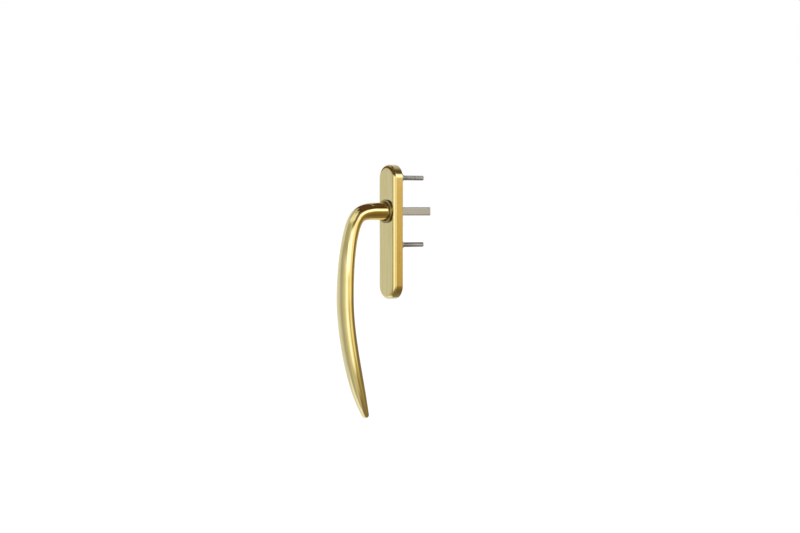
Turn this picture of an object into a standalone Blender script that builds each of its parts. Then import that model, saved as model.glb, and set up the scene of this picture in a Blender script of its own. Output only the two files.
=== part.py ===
"""Sash handle: a sabre-shaped brass lever on an oblong plate, with its spindle, stop and detent.

Metres, +Z up. The origin is the point where the spindle's axis meets the face of the sash. The room
is at -Y and the sash at +Y, so the plate stands out from y = 0 towards -Y, and the lever hangs down.
A height is a distance out of the sash, towards the room: height = -y.
"""

from math import acos, asin, cos, degrees, pi, radians, sin, sqrt

import bmesh
import bpy
from mathutils import Vector
from mathutils.geometry import interpolate_bezier

# Gaps
GAP = 0.0003  # between pieces that rest on each other
FIT = 0.00015  # around a pin, key or shaft

# Cover plate: an oblong with semicircular ends
PLATE_WIDTH = 0.032
PLATE_TOP = 0.0555
PLATE_BOTTOM = -0.1045
PLATE_DEPTH = 0.013
COVER_WALL = 0.0015
COVER_FILLET = 0.0042
COVER_INNER_FILLET = 0.0014
COVER_HOLE_RADIUS = 0.0124

# Lever. Its spine is drawn in the plane x = 0 as (height above the plate's face, z).
NECK_RADIUS = 0.0103
SPINE_NECK_END = (0.0175, 0.0)
SPINE_NECK_HANDLE = (0.0376, 0.0)
SPINE_BEND = (0.0442, -0.0095)
SPINE_BEND_ANGLE = 52.0  # degrees below the neck's line
SPINE_BEND_HANDLES = (0.005, 0.0125)
SPINE_BELLY = (0.0598, -0.1035)
SPINE_BELLY_HANDLE = 0.050
SPINE_TIP = (0.0288, -0.2448)
SPINE_TIP_HANDLE = (0.0391, -0.2250)
# Half-widths of the lever's oval section: across the lever (X), and in the plane of its bow
BEND_SECTION = (0.0093, 0.0088)
BELLY_SECTION = (0.0128, 0.0085)
TIP_SECTION = (0.0042, 0.0032)
TIP_TAPER = 4.6  # power of the taper from the belly to the tip
TIP_RINGS = 5  # sections that round the tip
LEVER_SEGMENTS = 32

# Spindle, and the pin that keeps it in the lever
SPINDLE_SIDE = 0.010
SPINDLE_CHAMFER = 0.001
SPINDLE_IN_NECK = 0.0325
SPINDLE_BEHIND_SASH = 0.050
SPINDLE_PIN_RADIUS = 0.00125
SPINDLE_PIN_HEIGHT = 0.0096

# Journal: the turned end of the lever, which carries the stop disc, the cam and the retaining ring
JOURNAL_RADIUS = 0.0085
JOURNAL_FLAT = 0.00715  # from the axis to each flat
GROOVE_DEPTH = 0.0005
HUB_WALL = 0.0033
DISC_THICKNESS = 0.0008
CAM_THICKNESS = 0.003
RING_THICKNESS = 0.0009
RETAINER_THICKNESS = 0.001

# Heights of the stack, from the cover plate in towards the sash
COVER_INSIDE = PLATE_DEPTH - COVER_WALL
HUB_FRONT = COVER_INSIDE - GAP
POCKET_ROOF = HUB_FRONT - HUB_WALL
DISC_TOP = POCKET_ROOF - GAP
DISC_BOTTOM = DISC_TOP - DISC_THICKNESS
CAM_TOP = DISC_BOTTOM - GAP
CAM_BOTTOM = CAM_TOP - CAM_THICKNESS
RING_TOP = CAM_BOTTOM - GAP
RING_BOTTOM = RING_TOP - RING_THICKNESS
JOURNAL_END = RING_BOTTOM - 0.0008
RETAINER_TOP = JOURNAL_END - 0.0004
RETAINER_BOTTOM = RETAINER_TOP - RETAINER_THICKNESS
BUSH_TOP = HUB_FRONT + 0.0001
NECK_SHOULDER = BUSH_TOP + GAP

# Collar and the two plain bearings
COLLAR_RADIUS = 0.014
COLLAR_HEIGHT = 0.0025
COLLAR_EDGE = 0.0008  # how far the rounded edge reaches in and down
COLLAR_BORE = 0.0112
COLLAR_SHADOW_GAP = 0.0002  # on each side of the sleeve
SPIGOT_RADIUS = 0.0121
SLEEVE_LIP = 0.0004
SLEEVE_LIP_HEIGHT = 0.0009
BUSH_WALL = 0.0008
BUSH_FLANGE_RADIUS = 0.0106
BUSH_FLANGE_THICKNESS = 0.0008

# Stop disc, cam and springs
STOP_PIN_RADIUS = 0.0011
STOP_PIN_ORBIT = 0.0114
STOP_PIN_TOP = 0.0094
DISC_RADIUS = 0.0126
DISC_NOTCH_RADIUS = 0.0100
TURN_DEGREES = 180.0
CAM_HALF_WIDTH = 0.0105
CAM_CORNER_RADIUS = 0.01225
RING_RADIUS = 0.0103
RING_GAP_DEGREES = 32.0
RING_LUG_DEGREES = 13.0
RING_LUG_SWELL = 1.13
RING_EYE_RADIUS = 0.0006
SPRING_THICKNESS = 0.0005
SPRING_WIDTH = 0.0031
SPRING_LENGTH = 0.044

# Base plate
BASE_INSET = 0.0018  # from the cover's outline to the base plate's
BASE_WEB = 0.003
BASE_RIM_HEIGHT = 0.009
BASE_RIM_WALL = 0.0016
HUB_RADIUS = 0.0139
HUB_BLOCK_HALF_LENGTH = 0.0345
HUB_BLOCK_HEIGHT = 0.0094
POCKET_HALF_WIDTH = 0.0130
POCKET_HALF_LENGTH = 0.0155
RETAINER_HALF_WIDTH = 0.0126
RETAINER_HALF_LENGTH = 0.0309
RETAINER_CORNER = 0.002
RETAINER_SCREW_Z = 0.027
RETAINER_SCREW_RADIUS = 0.0011
RETAINER_SCREW_TOP = 0.0065
FIXING_SCREW_Z = 0.040
BOSS_RADIUS = 0.0075
SUPPORT_BOSS_RADIUS = 0.006
SUPPORT_BOSS_LENGTH = 0.009
FIXING_HOLE_RADIUS = 0.0033
FIXING_SINK_BOTTOM = 0.0057  # height at which the countersink meets the hole
FIXING_SCREW_RADIUS = 0.003
FIXING_HEAD_RADIUS = 0.0055
FIXING_HEAD_TOP = 0.0086
FIXING_SOCKET_RADIUS = 0.0023
FIXING_SOCKET_DEPTH = 0.0024
FIXING_SCREW_LENGTH = 0.042  # behind the face of the sash
RIB_THICKNESS = 0.0016
RIB_HEIGHT = 0.007
CROSS_RIBS = (-0.058, -0.073, -0.088)
LONG_RIB_END = -0.0965

# Spring clips that hold the cover plate
CLIP_WIDTH = 0.006
CLIP_THICKNESS = 0.0005
CLIP_SEAT = 0.0129  # from the centre of the plate's round end to the clip's seat
CLIP_PAD = 0.0024

ROUND = 48  # segments of a bore or a shaft
FLAT_ON_SASH = (pi / 2, 0.0, 0.0)  # turns local +Z out of the sash, and local +Y up

BRASS = ((0.72, 0.52, 0.18, 1.0), 0.16, 1.0)
ZINC = ((0.52, 0.53, 0.54, 1.0), 0.45, 1.0)
STEEL = ((0.60, 0.60, 0.61, 1.0), 0.30, 1.0)
SPRING_STEEL = ((0.30, 0.31, 0.34, 1.0), 0.28, 1.0)
SINTERED = ((0.34, 0.33, 0.32, 1.0), 0.55, 1.0)
NYLON = ((0.03, 0.03, 0.03, 1.0), 0.50, 0.0)
ACETAL = ((0.80, 0.79, 0.74, 1.0), 0.45, 0.0)


def clear_scene():
    for obj in list(bpy.data.objects):
        bpy.data.objects.remove(obj, do_unlink=True)


def new_collection(name):
    collection = bpy.data.collections.new(name)
    bpy.context.scene.collection.children.link(collection)
    return collection


def new_empty(name, collection):
    """An empty at the origin, which lies on the spindle's axis."""
    empty = bpy.data.objects.new(name, None)
    empty.empty_display_size = 0.02
    collection.objects.link(empty)
    return empty


clear_scene()
PARTS = new_collection("sash_handle")
TOOLS = new_collection("sash_handle_cutters")
PLATE_BODY = new_empty("plate_body", PARTS)
LEVER_BODY = new_empty("lever_turn_axis", PARTS)


# Shapes


def tidy_mesh(mesh):
    """Weld the mesh and turn its faces outwards."""
    bm = bmesh.new()
    bm.from_mesh(mesh)
    bmesh.ops.remove_doubles(bm, verts=bm.verts, dist=0.000001)
    bmesh.ops.dissolve_limit(bm, angle_limit=radians(0.2), verts=bm.verts, edges=bm.edges)
    bmesh.ops.recalc_face_normals(bm, faces=bm.faces)
    bm.to_mesh(mesh)
    bm.free()


def prism(name, outlines, low, high):
    """A flat piece: closed (x, z) outlines drawn out between two heights. The inner ones are holes."""
    curve = bpy.data.curves.new(name, "CURVE")
    curve.dimensions = "2D"
    curve.fill_mode = "BOTH"
    curve.extrude = (high - low) / 2
    for outline in outlines:
        spline = curve.splines.new("POLY")
        spline.points.add(len(outline) - 1)
        for point, (x, z) in zip(spline.points, outline):
            point.co = (x, z, 0.0, 1.0)
        spline.use_cyclic_u = True
    drawn = bpy.data.objects.new(name + "_outline", curve)
    TOOLS.objects.link(drawn)
    mesh = bpy.data.meshes.new_from_object(drawn.evaluated_get(bpy.context.evaluated_depsgraph_get()))
    mesh.name = name
    tidy_mesh(mesh)
    obj = bpy.data.objects.new(name, mesh)
    obj.matrix_world = drawn.matrix_world
    bpy.data.objects.remove(drawn, do_unlink=True)
    obj.rotation_euler = FLAT_ON_SASH
    obj.location = (0.0, -(low + high) / 2, 0.0)
    return obj


def turned(name, profile, at=(0.0, 0.0), segments=ROUND, closed=False):
    """A turned piece: (radius, height) points, down its outer side, about an axis out of the sash."""
    mesh = bpy.data.meshes.new(name)
    edges = [(i, i + 1) for i in range(len(profile) - 1)]
    if closed:
        edges.append((len(profile) - 1, 0))
    mesh.from_pydata([(radius, 0.0, height) for radius, height in profile], edges, [])
    obj = bpy.data.objects.new(name, mesh)
    obj.rotation_euler = FLAT_ON_SASH
    obj.location = (at[0], 0.0, at[1])
    screw = obj.modifiers.new("turn", "SCREW")
    screw.axis = "Z"
    screw.steps = segments
    screw.render_steps = segments
    screw.use_merge_vertices = True
    screw.merge_threshold = 0.00001
    screw.use_smooth_shade = False
    return obj


def rod(name, radius, low, high, at=(0.0, 0.0), segments=ROUND):
    return turned(name, [(0.0, high), (radius, high), (radius, low), (0.0, low)], at, segments)


def block(name, x, height, z):
    """A box between (low, high) pairs of x, height and z."""
    bm = bmesh.new()
    bmesh.ops.create_cube(bm, size=1.0)
    size = Vector((x[1] - x[0], height[1] - height[0], z[1] - z[0]))
    bmesh.ops.scale(bm, vec=size, verts=bm.verts)
    mesh = bpy.data.meshes.new(name)
    bm.to_mesh(mesh)
    bm.free()
    obj = bpy.data.objects.new(name, mesh)
    obj.location = (sum(x) / 2, -sum(height) / 2, sum(z) / 2)
    return obj


def arc(radius, start, end, count, centre=(0.0, 0.0)):
    """Points on an arc, its angles in degrees from +X towards +Z."""
    angles = [radians(start + (end - start) * i / count) for i in range(count + 1)]
    return [(centre[0] + radius * cos(a), centre[1] + radius * sin(a)) for a in angles]


def circle(radius, count=ROUND, centre=(0.0, 0.0)):
    return arc(radius, 0.0, 360.0, count, centre)[:-1]


def oblong(inset, count=24):
    """The plate's outline, moved in by inset: straight sides and semicircular ends."""
    radius = PLATE_WIDTH / 2 - inset
    top = (0.0, PLATE_TOP - PLATE_WIDTH / 2)
    bottom = (0.0, PLATE_BOTTOM + PLATE_WIDTH / 2)
    return arc(radius, 0.0, 180.0, count, top) + arc(radius, 180.0, 360.0, count, bottom)


def double_d(clearance):
    """A round hole with two flats, for the lever's journal."""
    radius = JOURNAL_RADIUS + clearance
    corner = degrees(acos((JOURNAL_FLAT + clearance) / radius))
    upper = arc(radius, corner, 180.0 - corner, 16)
    lower = arc(radius, 180.0 + corner, 360.0 - corner, 16)
    return upper + lower


# Assembly


def cut(target, cutter):
    boolean(target, cutter, "DIFFERENCE")


def join(target, piece):
    boolean(target, piece, "UNION")


def boolean(target, tool, operation):
    tool.hide_render = True
    tool.display_type = "WIRE"
    if not tool.users_collection:
        TOOLS.objects.link(tool)
    step = target.modifiers.new(tool.name, "BOOLEAN")
    step.operation = operation
    step.object = tool
    weld = target.modifiers.new(tool.name + "_weld", "WELD")
    weld.merge_threshold = 0.000001


def bevel_edges(obj, width, segments, chosen):
    """Round the sharp edges whose two ends satisfy chosen(a, b)."""
    bm = bmesh.new()
    bm.from_mesh(obj.data)
    weight = bm.edges.layers.float.new("bevel_weight_edge")
    for edge in bm.edges:
        a, b = [vertex.co for vertex in edge.verts]
        if edge.calc_face_angle(0.0) > radians(45) and chosen(a, b):
            edge[weight] = 1.0
    bm.to_mesh(obj.data)
    bm.free()
    bevel = obj.modifiers.new("rounded_edges", "BEVEL")
    bevel.width = width
    bevel.segments = segments
    bevel.limit_method = "WEIGHT"


def bevel_front(obj, width, segments):
    """Round a prism's front edge."""
    front = max(vertex.co.z for vertex in obj.data.vertices)
    bevel_edges(obj, width, segments, lambda a, b: min(a.z, b.z) > front - 0.00001)


def node(obj, body, finish):
    """Make the object one of the handle's pieces, on its body and with its own material."""
    colour, roughness, metallic = finish
    material = bpy.data.materials.new(obj.name + "_finish")
    material.use_nodes = True
    shader = material.node_tree.nodes["Principled BSDF"]
    shader.inputs["Base Color"].default_value = colour
    shader.inputs["Roughness"].default_value = roughness
    shader.inputs["Metallic"].default_value = metallic
    material.diffuse_color = colour
    obj.data.materials.append(material)
    obj.data.shade_smooth()
    obj.data.set_sharp_from_angle(angle=radians(30))
    PARTS.objects.link(obj)
    obj.parent = body


# Plate: what stays on the sash


def make_cover_plate():
    """A drawn brass shell, open at the back, with a hole for the collar."""
    cover = prism("cover_plate", [oblong(0.0)], 0.0, PLATE_DEPTH)
    bevel_front(cover, COVER_FILLET, 5)
    hollow = prism("cover_hollow", [oblong(COVER_WALL)], -0.004, COVER_INSIDE)
    bevel_front(hollow, COVER_INNER_FILLET, 2)
    cut(cover, hollow)
    cut(cover, rod("cover_hole", COVER_HOLE_RADIUS, COVER_INSIDE - 0.002, PLATE_DEPTH + 0.002))
    node(cover, PLATE_BODY, BRASS)


def make_collar():
    """A turned brass ring around the neck, whose spigot passes the cover plate and seats on the hub."""
    front = PLATE_DEPTH + COLLAR_HEIGHT
    seat = PLATE_DEPTH + GAP
    spigot_end = HUB_FRONT + GAP
    recess = spigot_end + SLEEVE_LIP_HEIGHT
    profile = [
        (COLLAR_RADIUS - COLLAR_EDGE, front),
        (COLLAR_RADIUS - COLLAR_EDGE * 0.3, front - COLLAR_EDGE * 0.25),
        (COLLAR_RADIUS, front - COLLAR_EDGE),
        (COLLAR_RADIUS, seat),
        (SPIGOT_RADIUS, seat),
        (SPIGOT_RADIUS, spigot_end),
        (COLLAR_BORE + SLEEVE_LIP, spigot_end),
        (COLLAR_BORE + SLEEVE_LIP, recess),
        (COLLAR_BORE, recess),
        (COLLAR_BORE, front - COLLAR_EDGE * 0.25),
        (COLLAR_BORE + COLLAR_EDGE * 0.25, front),
    ]
    node(turned("collar_ring", profile, closed=True), PLATE_BODY, BRASS)
    outside = COLLAR_BORE - COLLAR_SHADOW_GAP
    inside = NECK_RADIUS + COLLAR_SHADOW_GAP
    lip = recess - COLLAR_SHADOW_GAP
    sleeve = [
        (outside, front - GAP),
        (outside, lip),
        (outside + SLEEVE_LIP, lip),
        (outside + SLEEVE_LIP, spigot_end),
        (inside, spigot_end),
        (inside, front - GAP),
    ]
    node(turned("collar_bush", sleeve, closed=True), PLATE_BODY, NYLON)


def make_bearing_bush():
    """The flanged bearing in the base plate's hub, which carries the lever's journal."""
    inside = JOURNAL_RADIUS + FIT
    outside = inside + BUSH_WALL
    profile = [
        (BUSH_FLANGE_RADIUS, BUSH_TOP),
        (BUSH_FLANGE_RADIUS, BUSH_TOP - BUSH_FLANGE_THICKNESS),
        (outside, BUSH_TOP - BUSH_FLANGE_THICKNESS),
        (outside, POCKET_ROOF + 0.0001),
        (inside, POCKET_ROOF + 0.0001),
        (inside, BUSH_TOP),
    ]
    node(turned("bearing_bush", profile, closed=True), PLATE_BODY, ACETAL)


def join_base_hub(base):
    """The block that holds the mechanism, and the round hub in front of it."""
    half_width = PLATE_WIDTH / 2 - BASE_INSET - BASE_RIM_WALL / 2
    length = (-HUB_BLOCK_HALF_LENGTH, HUB_BLOCK_HALF_LENGTH)
    join(base, block("hub_block", (-half_width, half_width), (BASE_WEB / 2, HUB_BLOCK_HEIGHT), length))
    join(base, rod("hub_disc", HUB_RADIUS, BASE_WEB, HUB_FRONT))


def join_base_bosses(base):
    """The front bosses that take the screw heads, and the round ones that key into the sash."""
    for end, z in (("top", FIXING_SCREW_Z), ("bottom", -FIXING_SCREW_Z)):
        head_boss = rod("head_boss_" + end, BOSS_RADIUS, BASE_WEB / 2, BASE_RIM_HEIGHT - 0.0001, (0.0, z))
        support = rod("support_boss_" + end, SUPPORT_BOSS_RADIUS, -SUPPORT_BOSS_LENGTH, 0.001, (0.0, z))
        join(base, head_boss)
        join(base, support)


def join_base_ribs(base):
    """One rib down the long lower end, and short ones across it."""
    half_width = PLATE_WIDTH / 2 - BASE_INSET - BASE_RIM_WALL / 2
    half_rib = RIB_THICKNESS / 2
    height = (BASE_WEB / 2, RIB_HEIGHT)
    join(base, block("long_rib", (-half_rib, half_rib), height, (LONG_RIB_END, -FIXING_SCREW_Z)))
    across = (-half_width, half_width)
    low_height = (BASE_WEB / 2, RIB_HEIGHT - 0.0005)
    for i, z in enumerate(CROSS_RIBS):
        join(base, block(f"cross_rib_{i}", across, low_height, (z - half_rib, z + half_rib)))


def round_ends():
    """Name, centre and outward direction of the plate's two round ends."""
    top = PLATE_TOP - PLATE_WIDTH / 2
    bottom = PLATE_BOTTOM + PLATE_WIDTH / 2
    return (("top", top, 1.0), ("bottom", bottom, -1.0))


def seat_base_clips(base):
    """A thick pad at each end, with a flat seat in front of it for a cover clip."""
    for end, centre, out in round_ends():
        seat = centre + out * CLIP_SEAT
        pad = sorted((seat - out * CLIP_PAD, seat + out * 0.0004))
        notch = sorted((seat, seat + out * 0.004))
        half = CLIP_WIDTH / 2 + 0.0004
        pad_height = (BASE_WEB / 2, BASE_RIM_HEIGHT - 0.0002)
        join(base, block("clip_pad_" + end, (-half - 0.0006, half + 0.0006), pad_height, pad))
        cut(base, block("clip_notch_" + end, (-half, half), (BASE_WEB, BASE_RIM_HEIGHT + 0.002), notch))


def cut_base_mechanism(base):
    """The pocket for the disc and the cam, the springs' slots, the bearing and the retainer's recess."""
    behind = -0.001
    wide = (-POCKET_HALF_WIDTH, POCKET_HALF_WIDTH)
    tall = (-POCKET_HALF_LENGTH, POCKET_HALF_LENGTH)
    cut(base, block("cam_pocket", wide, (behind, POCKET_ROOF), tall))
    slot_length = SPRING_LENGTH / 2 + 0.0004
    slot_inner = CAM_HALF_WIDTH - 0.00005
    slot_outer = CAM_HALF_WIDTH + SPRING_THICKNESS + 0.0006
    for side, sign in (("right", 1.0), ("left", -1.0)):
        across = sorted((sign * slot_inner, sign * slot_outer))
        cut(base, block("spring_slot_" + side, across, (behind, DISC_BOTTOM), (-slot_length, slot_length)))
    recess = (-RETAINER_HALF_LENGTH - GAP, RETAINER_HALF_LENGTH + GAP)
    recess_width = (-RETAINER_HALF_WIDTH - GAP, RETAINER_HALF_WIDTH + GAP)
    cut(base, block("retainer_recess", recess_width, (behind, RETAINER_TOP + GAP), recess))
    bore = JOURNAL_RADIUS + FIT + BUSH_WALL + 0.0002
    counterbore = BUSH_TOP - BUSH_FLANGE_THICKNESS - 0.0002
    cut(base, rod("bush_bore", bore, POCKET_ROOF - 0.001, HUB_FRONT + 0.001))
    cut(base, rod("bush_counterbore", BUSH_FLANGE_RADIUS + GAP, counterbore, HUB_FRONT + 0.001))
    pin_hole = STOP_PIN_RADIUS + FIT
    pin_at = (0.0, STOP_PIN_ORBIT)
    cut(base, rod("stop_pin_hole", pin_hole, POCKET_ROOF - 0.001, STOP_PIN_TOP + GAP, pin_at, 24))


def cut_base_screw_holes(base):
    """Countersunk holes for the fixing screws, and blind ones for the retainer's screws."""
    cone_top = BASE_RIM_HEIGHT + 0.0005
    cone = [
        (0.0, cone_top),
        (FIXING_HOLE_RADIUS + cone_top - FIXING_SINK_BOTTOM, cone_top),
        (FIXING_HOLE_RADIUS, FIXING_SINK_BOTTOM),
        (FIXING_HOLE_RADIUS, -SUPPORT_BOSS_LENGTH - 0.001),
        (0.0, -SUPPORT_BOSS_LENGTH - 0.001),
    ]
    ends = (("top", 1.0), ("bottom", -1.0))
    blind_radius = RETAINER_SCREW_RADIUS + FIT
    blind_top = RETAINER_SCREW_TOP + 0.0007
    for end, sign in ends:
        at = (0.0, sign * RETAINER_SCREW_Z)
        cut(base, rod("retainer_hole_" + end, blind_radius, RETAINER_BOTTOM, blind_top, at, 24))
    for end, sign in ends:
        cut(base, turned("fixing_hole_" + end, cone, (0.0, sign * FIXING_SCREW_Z)))


def make_base_plate():
    """The die-cast plate that is screwed to the sash and carries everything else."""
    base = prism("base_plate", [oblong(BASE_INSET)], 0.0, BASE_RIM_HEIGHT)
    tray = prism("base_tray", [oblong(BASE_INSET + BASE_RIM_WALL)], BASE_WEB, BASE_RIM_HEIGHT + 0.002)
    cut(base, tray)
    join_base_hub(base)
    join_base_bosses(base)
    join_base_ribs(base)
    seat_base_clips(base)
    cut_base_mechanism(base)
    cut_base_screw_holes(base)
    node(base, PLATE_BODY, ZINC)


def make_retainer_plate():
    """The thin steel plate that closes the mechanism from behind, around the spindle."""
    x = RETAINER_HALF_WIDTH - RETAINER_CORNER
    z = RETAINER_HALF_LENGTH - RETAINER_CORNER
    outline = []
    for quarter, centre in enumerate(((x, z), (-x, z), (-x, -z), (x, -z))):
        start = 90.0 * quarter
        outline += arc(RETAINER_CORNER, start, start + 90.0, 4, centre)
    spindle_hole = circle(SPINDLE_SIDE * sqrt(2) / 2 + 0.0006)
    plate = prism("retainer_plate", [outline, spindle_hole], RETAINER_BOTTOM, RETAINER_TOP)
    countersink = [
        (0.0, RETAINER_TOP + 0.0005),
        (0.0016, RETAINER_TOP + 0.0005),
        (0.0016, RETAINER_TOP - 0.0001),
        (0.0033, RETAINER_BOTTOM - 0.0007),
        (0.0, RETAINER_BOTTOM - 0.0007),
    ]
    for end, sign in (("top", 1.0), ("bottom", -1.0)):
        cut(plate, turned("retainer_sink_" + end, countersink, (0.0, sign * RETAINER_SCREW_Z), 32))
    node(plate, PLATE_BODY, STEEL)


def make_retainer_screw(end, z):
    """A small countersunk screw, put in from behind."""
    back = RETAINER_BOTTOM + 0.0001
    radius = RETAINER_SCREW_RADIUS
    profile = [
        (0.0, RETAINER_SCREW_TOP),
        (radius - 0.0003, RETAINER_SCREW_TOP),
        (radius, RETAINER_SCREW_TOP - 0.0004),
        (radius, back + 0.0013),
        (radius + 0.0013, back),
        (0.0, back),
    ]
    screw = turned("retainer_screw_" + end, profile, (0.0, z), 32)
    slot_depth = (back - 0.001, back + 0.0006)
    cut(screw, block("retainer_slot_" + end, (-0.003, 0.003), slot_depth, (z - 0.0003, z + 0.0003)))
    node(screw, PLATE_BODY, STEEL)


def make_fixing_screw(end, z):
    """A countersunk machine screw that goes through the sash, with a hexagon socket."""
    radius = FIXING_SCREW_RADIUS
    top = FIXING_HEAD_TOP
    head_radius = FIXING_HEAD_RADIUS
    under_head = top - 0.0003 - head_radius + radius
    profile = [
        (0.0, top),
        (head_radius - 0.0001, top),
        (head_radius, top - 0.0001),
        (head_radius, top - 0.0003),
        (radius, under_head),
        (radius, -FIXING_SCREW_LENGTH + 0.0008),
        (radius - 0.0008, -FIXING_SCREW_LENGTH),
        (0.0, -FIXING_SCREW_LENGTH),
    ]
    screw = turned("fixing_screw_" + end, profile, (0.0, z), 32)
    socket_bottom = top - FIXING_SOCKET_DEPTH
    cut(screw, rod("hex_socket_" + end, FIXING_SOCKET_RADIUS, socket_bottom, top + 0.001, (0.0, z), 6))
    node(screw, PLATE_BODY, STEEL)


def make_cover_clip(end, centre, out):
    """A strip of spring steel folded over the base plate's end, whose outer leg grips the cover."""
    half = CLIP_WIDTH / 2
    half_sheet = CLIP_THICKNESS / 2
    outer = centre + out * (CLIP_SEAT + GAP + half_sheet)
    inner = centre + out * (CLIP_SEAT - CLIP_PAD - GAP - half_sheet)
    top = BASE_RIM_HEIGHT + GAP + half_sheet
    fold = [
        (inner, 0.0045),
        (inner, top - 0.0005),
        (inner + out * 0.0005, top),
        (outer - out * 0.0005, top),
        (outer, top - 0.0005),
        (outer, 0.0065),
        (outer + out * 0.00015, 0.0055),
        (outer, 0.0045),
    ]
    bm = bmesh.new()
    rows = [[bm.verts.new((x, -height, z)) for x in (-half, half)] for z, height in fold]
    for left, right in zip(rows, rows[1:]):
        bm.faces.new((left[0], left[1], right[1], right[0]))
    bmesh.ops.recalc_face_normals(bm, faces=bm.faces)
    mesh = bpy.data.meshes.new("cover_clip_" + end)
    bm.to_mesh(mesh)
    bm.free()
    clip = bpy.data.objects.new("cover_clip_" + end, mesh)
    sheet = clip.modifiers.new("sheet", "SOLIDIFY")
    sheet.thickness = CLIP_THICKNESS
    sheet.offset = 0.0
    sheet.use_even_offset = True
    node(clip, PLATE_BODY, SPRING_STEEL)


def make_stop_pin():
    """The dowel in the hub that the stop disc runs against at each end of the turn."""
    pin = rod("stop_pin", STOP_PIN_RADIUS, DISC_BOTTOM - 0.00005, STOP_PIN_TOP, (0.0, STOP_PIN_ORBIT), 24)
    node(pin, PLATE_BODY, STEEL)


def make_detent_spring(side, sign):
    """A leaf spring beside the cam, held by its ends in the base plate's slots."""
    inner = sign * (CAM_HALF_WIDTH + 0.0002)
    outer = sign * (CAM_HALF_WIDTH + 0.0002 + SPRING_THICKNESS)
    middle = (CAM_TOP + CAM_BOTTOM) / 2 - 0.00005
    height = (middle - SPRING_WIDTH / 2, middle + SPRING_WIDTH / 2)
    length = (-SPRING_LENGTH / 2, SPRING_LENGTH / 2)
    spring = block("detent_spring_" + side, sorted((inner, outer)), height, length)
    node(spring, PLATE_BODY, SPRING_STEEL)


# Lever: what turns with the spindle


def spine_points():
    """Points down the middle of the lever, in the plane x = 0, from the neck's shoulder to the tip."""
    fall = Vector((cos(radians(SPINE_BEND_ANGLE)), -sin(radians(SPINE_BEND_ANGLE))))
    neck_end = Vector(SPINE_NECK_END)
    bend = Vector(SPINE_BEND)
    belly = Vector(SPINE_BELLY)
    shoulder = Vector((NECK_SHOULDER - PLATE_DEPTH, 0.0))
    before, after = SPINE_BEND_HANDLES
    drop = Vector((0.0, SPINE_BELLY_HANDLE))
    runs = [
        ((shoulder, shoulder.lerp(neck_end, 0.3), shoulder.lerp(neck_end, 0.7), neck_end), 3),
        ((neck_end, Vector(SPINE_NECK_HANDLE), bend - fall * before, bend), 13),
        ((bend, bend + fall * after, belly + drop, belly), 15),
        ((belly, belly - drop, Vector(SPINE_TIP_HANDLE), Vector(SPINE_TIP)), 22),
    ]
    points = []
    joints = []
    for knots, count in runs:
        stretch = interpolate_bezier(*[k.to_3d() for k in knots], count)
        points += [p.to_2d() for p in (stretch if not points else stretch[1:])]
        joints.append(len(points) - 1)
    return points, joints


def eased(start, end, t):
    t = t * t * (3.0 - 2.0 * t)
    return start + (end - start) * t


def half_widths(along, neck_end, bend, belly, tip):
    """Half-widths of the oval section, across it and in the plane of its bow, at a length along the spine."""
    widths = []
    for i in range(2):
        if along <= neck_end:
            width = NECK_RADIUS
        elif along <= bend:
            width = eased(NECK_RADIUS, BEND_SECTION[i], (along - neck_end) / (bend - neck_end))
        elif along <= belly:
            width = eased(BEND_SECTION[i], BELLY_SECTION[i], (along - bend) / (belly - bend))
        else:
            taper = ((along - belly) / (tip - belly)) ** TIP_TAPER
            width = BELLY_SECTION[i] + (TIP_SECTION[i] - BELLY_SECTION[i]) * taper
        widths.append(width)
    return widths


def lever_sections():
    """The spine's points, with the half-widths of the oval section at each, down to the rounded tip."""
    points, joints = spine_points()
    lengths = [0.0]
    for a, b in zip(points, points[1:]):
        lengths.append(lengths[-1] + (b - a).length)
    stations = [lengths[j] for j in joints]
    cap = sum(TIP_SECTION) / 2
    sections = []
    for point, along in zip(points, lengths):
        if along < lengths[-1] - cap:
            sections.append((point, half_widths(along, *stations)))
    direction = (points[-1] - points[-2]).normalized()
    for i in range(TIP_RINGS):
        turn = radians(82.0 * i / (TIP_RINGS - 1))
        short = cap * (1.0 - sin(turn))
        widths = half_widths(lengths[-1] - short, *stations)
        sections.append((points[-1] - direction * short, [w * cos(turn) for w in widths]))
    return sections


def make_lever():
    """The lever: a lofted neck and blade, with a turned journal behind the neck's shoulder."""
    sections = lever_sections()
    bm = bmesh.new()
    rings = []
    for i, (point, (across, along)) in enumerate(sections):
        before = sections[max(i - 1, 0)][0]
        after = sections[min(i + 1, len(sections) - 1)][0]
        direction = (after - before).normalized()
        normal = Vector((-direction.y, direction.x))
        ring = []
        for j in range(LEVER_SEGMENTS):
            angle = 2.0 * pi * j / LEVER_SEGMENTS
            offset = point + normal * along * sin(angle)
            ring.append(bm.verts.new((across * cos(angle), -PLATE_DEPTH - offset.x, offset.y)))
        rings.append(ring)
    for a, b in zip(rings, rings[1:]):
        for j in range(LEVER_SEGMENTS):
            k = (j + 1) % LEVER_SEGMENTS
            bm.faces.new((a[j], a[k], b[k], b[j]))
    bm.faces.new(rings[0])
    bm.faces.new(reversed(rings[-1]))
    bmesh.ops.recalc_face_normals(bm, faces=bm.faces)
    mesh = bpy.data.meshes.new("lever")
    bm.to_mesh(mesh)
    bm.free()
    lever = bpy.data.objects.new("lever", mesh)
    finish_journal(lever)
    node(lever, LEVER_BODY, BRASS)


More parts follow.
